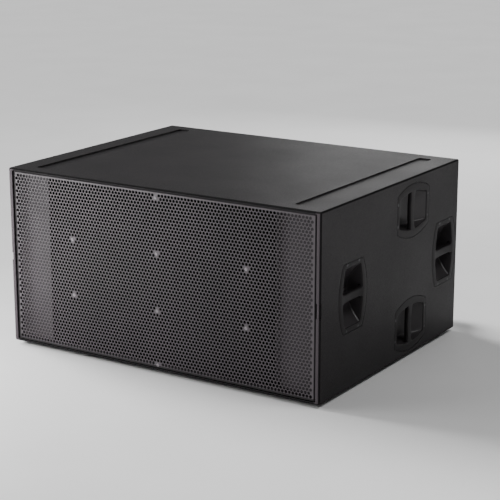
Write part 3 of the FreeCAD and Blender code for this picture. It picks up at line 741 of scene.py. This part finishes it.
def build_drivers():
    for side in ("left", "right"):
        lo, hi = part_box("surround_" + side)
        cx, cz = (lo.x + hi.x) / 2, (lo.z + hi.z) / 2
        back = hi.y                                   # the glued flanges' rear face
        prof = [(212, 0), (212, 1.2), (211.6, 1.5), (202.6, 1.5), (201.4, 2.2)]
        prof += [(r, s) for r, s in arc(190.5, 1.5, 10.4, 12, 168, 20)]
        prof += [(179.6, 2.2), (178.4, 1.5), (170.4, 1.5), (170, 1.2), (170, 0), (180.4, 0), (181.6, 0.7)]
        prof += [(r, s) for r, s in arc(190.5, 0.6, 9.2, 172, 8, 20)]
        prof += [(199.4, 0.7), (200.6, 0)]
        v, f = lathe([(r * MM, s * MM) for r, s in prof], (cx, back, cz), (0, -1, 0), 144)
        o = outward(mesh("surround_roll_" + side, v, f, "surround", 40))
        radial_blend(o)
        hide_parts("surround_" + side)

        lo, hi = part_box("spider_" + side)
        mid = (lo.y + hi.y) / 2
        front, rear = [], []
        for i in range(81):
            r = 58.1 + (120.0 - 58.1) * i / 80
            s = 0.0
            if 64.0 < r < 106.0:
                s = 2.5 * math.sin((r - 64.0) / 42.0 * math.pi * 2 * 4) * min(1.0, (r - 64.0) / 5.0, (106.0 - r) / 5.0)
            front.append((r, s + 0.45))
            rear.append((r, s - 0.45))
        prof = front + rear[::-1]
        v, f = lathe([(r * MM, s * MM) for r, s in prof], (cx, mid, cz), (0, -1, 0), 120)
        o = outward(mesh("spider_disc_" + side, v, f, "spider", 40))
        radial_blend(o)
        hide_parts("spider_" + side)


build_drivers()


# ------------------------------------------------------------------ the foam behind the grille
def build_foam():
    lo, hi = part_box("grille_foam")
    r = 3.0 * MM
    edge = 2.0 * MM
    outer = rounded_rect(lo.x + edge, hi.x - edge, lo.z + edge, hi.z - edge, r, 4)
    loops, pts, edges = [list(range(len(outer)))], list(outer), [(i, (i + 1) % len(outer)) for i in range(len(outer))]
    holes = [(x, z) for x, z in SCREW_AT if lo.z + 12 * MM < z < hi.z - 12 * MM]
    notch = [(x, z) for x, z in SCREW_AT if (x, z) not in holes]
    for x, z in holes:
        s = len(pts)
        pts += [(x + 8 * MM * math.cos(2 * math.pi * i / 20), z + 8 * MM * math.sin(2 * math.pi * i / 20)) for i in range(20)]
        loops.append(list(range(s, s + 20)))
        edges += [(s + i, s + (i + 1) % 20) for i in range(20)]
    step = 14.0 * MM
    nx, nz = int((hi.x - lo.x) / step), int((hi.z - lo.z) / step)
    for i in range(1, nx):
        for j in range(1, nz):
            x = lo.x + (hi.x - lo.x) * i / nx + (0.5 * step if j % 2 else 0.0)
            z = lo.z + (hi.z - lo.z) * j / nz
            if x > hi.x - 6 * MM or any(math.hypot(x - hx, z - hz) < 12 * MM for hx, hz in holes):
                continue
            pts.append((x, z))
    out = geometry.delaunay_2d_cdt([Vector(p) for p in pts], edges, [], 1, 1e-7)
    co, tris = out[0], out[2]
    back = {}
    for new, olds in enumerate(out[3]):
        for k in olds:
            back[k] = new
    keep = []
    for t in tris:
        cx, cz = sum(co[i][0] for i in t) / len(t), sum(co[i][1] for i in t) / len(t)
        if any(math.hypot(cx - hx, cz - hz) < 7.85 * MM for hx, hz in holes):
            continue
        keep.append(t)
    n = len(co)
    rng = np.random.default_rng(11)
    ph = rng.uniform(0, 2 * math.pi, 6)

    def sag(x, z):
        return 0.00035 * (math.sin(x * 19 + ph[0]) * math.sin(z * 23 + ph[1]) + 0.5 * math.sin(x * 47 + z * 31 + ph[2]))

    verts = []
    for c in co:
        near = any(abs(math.hypot(c[0] - nx_, c[1] - nz_)) < 9 * MM for nx_, nz_ in notch)
        verts.append((c[0], lo.y + 0.4 * MM + sag(c[0], c[1]) + (3.0 * MM if near else 0.0), c[1]))
    verts += [(c[0], hi.y - 0.2 * MM, c[1]) for c in co]
    faces = []
    for t in keep:
        a = [co[i] for i in t]
        area2 = sum(a[i][0] * a[(i + 1) % len(a)][1] - a[(i + 1) % len(a)][0] * a[i][1] for i in range(len(a)))
        t = list(t) if area2 > 0 else list(reversed(t))
        faces.append(t)
        faces.append([i + n for i in reversed(t)])
    for loop in loops[1:]:
        l = [back[i] for i in loop]
        for i in range(len(l)):
            faces.append((l[(i + 1) % len(l)], l[i], l[i] + n, l[(i + 1) % len(l)] + n))
    prev = [back[i] for i in loops[0]]
    m = len(prev)
    for grow, y in ((1.2 * MM, lo.y + 1.0 * MM), (1.9 * MM, lo.y + 2.4 * MM), (1.9 * MM, hi.y - 2.2 * MM), (1.2 * MM, hi.y - 0.8 * MM)):
        s = len(verts)
        for x, z in rounded_rect(lo.x + edge - grow, hi.x - edge + grow, lo.z + edge - grow, hi.z - edge + grow, r + grow, 4):
            verts.append((x, y, z))
        ring = list(range(s, s + m))
        for i in range(m):
            faces.append((prev[i], ring[i], ring[(i + 1) % m], prev[(i + 1) % m]))
        prev = ring
    last = [back[i] + n for i in loops[0]]
    for i in range(m):
        faces.append((prev[i], last[i], last[(i + 1) % m], prev[(i + 1) % m]))
    o = outward(mesh("grille_foam_sheet", verts, faces, "foam", 50))
    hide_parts("grille_foam")
    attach(o, "cabinet")


build_foam()


# ------------------------------------------------------------------ castor wheels: tyre, ribbed hub, bearing caps
def build_wheels():
    for pos in ("upper_left", "upper_right", "lower_left", "lower_right"):
        node = "castor_wheel_" + pos
        lo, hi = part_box(node)
        c = (lo + hi) / 2
        R = (hi.y - lo.y) / 2 / MM
        half = (hi.x - lo.x) / 2 / MM
        body = "castor_roll_" + pos
        # tyre
        prof = [(R - 13.5, -12.0), (R - 13.0, -14.5), (R - 10.5, -16.6), (R - 8.0, -17.6)]
        prof += arc(R - 8.6, -9.6, 8.0, -88, -12, 8)
        prof += [(R - 0.35, -6.0), (R - 0.05, -2.0), (R - 0.05, 2.0), (R - 0.35, 6.0)]
        prof += arc(R - 8.6, 9.6, 8.0, 12, 88, 8)
        prof += [(R - 8.0, 17.6), (R - 10.5, 16.6), (R - 13.0, 14.5), (R - 13.5, 12.0)]
        v, f = lathe([(r * MM, s * MM) for r, s in prof], c, (1, 0, 0), 96)
        o = outward(mesh("castor_tyre_" + pos, v, f, "tyre", 35))
        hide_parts(node)
        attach(o, body)
        # hub: rim, web and nave in one turned solid, with eight ribs on each side
        rim = R - 13.6
        prof = [(6.1, -half + 4.5), (12.0, -half + 4.5), (13.2, -half + 5.7), (13.6, -9.0), (15.0, -4.5), (rim - 6.0, -4.0), (rim - 4.0, -9.0),
                (rim - 3.4, -14.2), (rim - 2.6, -15.0), (rim - 0.6, -15.0), (rim - 0.1, -14.2), (rim - 0.1, 14.2), (rim - 0.6, 15.0), (rim - 2.6, 15.0),
                (rim - 3.4, 14.2), (rim - 4.0, 9.0), (rim - 6.0, 4.0), (15.0, 4.5), (13.6, 9.0), (13.2, half - 5.7), (12.0, half - 4.5), (6.1, half - 4.5)]
        v, f = lathe([(r * MM, s * MM) for r, s in prof], c, (1, 0, 0), 80)
        v = [Vector(p) for p in v]
        for i in range(8):
            t = 2 * math.pi * (i + 0.5) / 8
            d = Vector((0, math.cos(t), math.sin(t)))
            w = Vector((0, -math.sin(t), math.cos(t)))
            for s in (-1, 1):
                base = len(v)
                for r, h, wd in ((12.6, 10.5, 2.3), (rim - 3.0, 12.4, 1.8)):
                    for a, b in ((-wd, 3.0), (wd, 3.0), (wd * 0.7, h), (-wd * 0.7, h)):
                        v.append(c + d * (r * MM) + w * (a * MM) + Vector((s * b * MM, 0, 0)))
                q = [(0, 1, 2, 3), (7, 6, 5, 4), (0, 4, 5, 1), (1, 5, 6, 2), (2, 6, 7, 3), (3, 7, 4, 0)]
                f += [tuple(base + k for k in face) for face in q]
        o = outward(mesh("castor_hub_" + pos, v, f, "hub", 35))
        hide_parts(node)
        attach(o, body)
        # bearing caps
        v, f = [], []
        for s in (-1, 1):
            prof = [(6.1, half - 6.0), (11.4, half - 6.0), (11.4, half - 0.9), (10.7, half - 0.3), (8.4, half - 0.1), (6.1, half - 0.1)]
            vv, ff = lathe([(r * MM, k * s * MM) for r, k in prof], c, (1, 0, 0), 48)
            f += [tuple(i + len(v) for i in face) for face in ff]
            v += vv
        o = outward(mesh("castor_bearing_" + pos, v, f, "plated", 35))
        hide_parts(node)
        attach(o, body)


build_wheels()


# ------------------------------------------------------------------ stage: floor, lights, camera
def stage_mat():
    m = Mat("pale_floor", Roughness=0.9, Specular_IOR_Level=0.2)
    n = m.noise(2.0, 3.0)
    m.color(m.ramp(n, (0.86, 0.86, 0.86), (0.90, 0.90, 0.90)))
    return m


def build_stage():
    m = stage_mat()
    me = bpy.data.meshes.new("floor")
    s = 60.0
    me.from_pydata([(-s, -s, 0), (s, -s, 0), (s, s, 0), (-s, s, 0)], [], [(0, 1, 2, 3)])
    me.materials.append(m.m)
    o = bpy.data.objects.new("floor", me)
    bpy.context.scene.collection.objects.link(o)


def area(name, loc, target, size, power, color=(1, 1, 1), size_y=None, spread=None):
    d = bpy.data.lights.new(name, "AREA")
    d.energy, d.color = power, color
    d.shape = "RECTANGLE"
    d.size, d.size_y = size, size_y or size
    if spread:
        d.spread = math.radians(spread)
    o = bpy.data.objects.new(name, d)
    o.location = loc
    o.rotation_euler = (Vector(target) - Vector(loc)).to_track_quat("-Z", "Y").to_euler()
    bpy.context.scene.collection.objects.link(o)
    return o


build_stage()
WORLD = 1.02
SUNS = [      # name, strength, angle, direction it comes from
    ("sky_left", 5.0, 30.0, (-1.0, 0.1, 0.6)),
]
LIGHTS = [    # name, place, aim, size x, size y, watts
    ("front_low_left", (-1.6, -2.2, 0.35), (-0.5, -0.55, 0.3), 0.8, 0.5, 11.5),
    ("front_left", (-2.6, -3.2, 1.6), (-0.3, -0.55, 0.3), 1.4, 1.4, 26.0),
    ("floor_near", (-1.5, -1.5, 0.8), (-1.5, -1.5, 0.0), 0.6, 0.6, 49.0),
    ("back_far", (-0.6, 4.0, 1.6), (0.0, 0.0, 0.63), 3.0, 1.6, 37.0),
    ("right_top", (1.6, -0.3, 2.2), (0.625, -0.1, 0.4), 0.8, 0.8, 17.0),
]
w = bpy.data.worlds.new("studio")
bpy.context.scene.world = w
w.use_nodes = True
wt = w.node_tree
wc = wt.nodes.new("ShaderNodeTexCoord")
wsep = wt.nodes.new("ShaderNodeSeparateXYZ")
wramp = wt.nodes.new("ShaderNodeValToRGB")          # pale along the horizon, dark overhead
wt.links.new(wc.outputs["Generated"], wsep.inputs[0])
wt.links.new(wsep.outputs["Z"], wramp.inputs[0])
we = wramp.color_ramp.elements
we[0].position, we[1].position = 0.03, 0.20
we[0].color, we[1].color = (1.0, 1.0, 1.0, 1), (0.08, 0.08, 0.08, 1)
wt.links.new(wramp.outputs[0], wt.nodes["Background"].inputs[0])
wt.nodes["Background"].inputs[1].default_value = WORLD
for name, strength, angle, way in SUNS:
    sun_d = bpy.data.lights.new(name, "SUN")
    sun_d.energy, sun_d.angle = strength, math.radians(angle)
    sun = bpy.data.objects.new(name, sun_d)
    sun.rotation_euler = Vector(way).to_track_quat("Z", "Y").to_euler()
    bpy.context.scene.collection.objects.link(sun)
for name, loc, aim, sx, sy, watts in LIGHTS:
    area(name, loc, aim, sx, watts, size_y=sy)

cam_d = bpy.data.cameras.new("camera")
cam = bpy.data.objects.new("camera", cam_d)
bpy.context.scene.collection.objects.link(cam)
base = Vector((0.0, BOX_C.y, BOX_LO.z))
cam.location = base + Vector((2.947, -4.515, 1.733))
target = base + Vector((0.055, 0.0, 0.318))
cam.rotation_euler = (target - cam.location).to_track_quat("-Z", "Y").to_euler()
cam_d.sensor_width = 36.0
cam_d.lens = 113.0
cam_d.clip_start, cam_d.clip_end = 0.1, 200.0
bpy.context.scene.camera = cam
